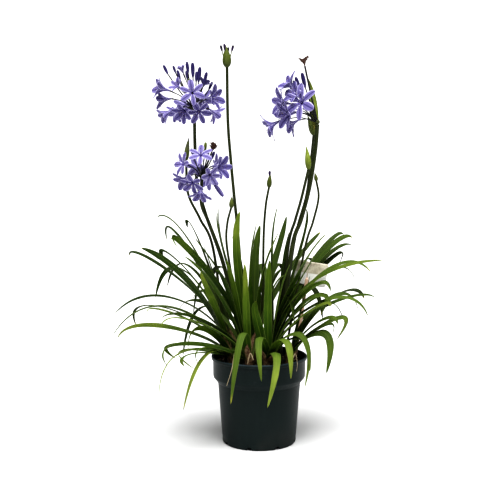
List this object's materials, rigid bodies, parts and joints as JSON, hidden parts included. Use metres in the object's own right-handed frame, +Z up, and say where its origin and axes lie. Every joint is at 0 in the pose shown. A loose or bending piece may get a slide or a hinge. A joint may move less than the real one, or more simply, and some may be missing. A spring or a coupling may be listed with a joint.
{
  "type": "agapanthus plant in a pot",
  "caption": "Flowering agapanthus with strap leaves, blue umbels and closed buds, standing in a round black nursery pot with a plant label.",
  "frame": {"origin": "centre of the pot's base, on the surface it stands on", "axes": "+Z up; the front of the plant faces -Y, +X to its right"},
  "size_m": [0.6641, 0.6121, 0.9885],
  "materials": {
    "pot_plastic": "black moulded plastic, satin, slightly scuffed",
    "soil": "dark crumbly potting soil",
    "label_plastic": "bare cream plastic card",
    "leaf": "smooth strap leaf, slightly waxy",
    "stem": "smooth green flower stem",
    "flower": "violet-blue petal, darker midrib"
  },
  "bodies": {
    "root": {"pot": "pot_plastic", "soil": "soil", "plant_label": "label_plastic", "leaf_fan_left_front": "leaf", "leaf_fan_left_back": "leaf", "leaf_fan_front_left": "leaf", "leaf_fan_middle": "leaf", "leaf_fan_back": "leaf", "leaf_fan_front_right": "leaf", "leaf_fan_right": "leaf", "leaf_fan_right_back": "leaf", "leaf_fan_far_right": "leaf", "scape_a": "stem", "scape_b": "stem", "scape_c": "stem", "scape_d": "stem", "scape_e": "stem", "scape_f": "stem", "scape_g": "stem", "scape_h": "stem", "scape_i": "stem", "scape_j": "stem", "bloom_a": "flower", "bloom_c": "flower", "bloom_f": "flower"}
  },
  "joints": []
}
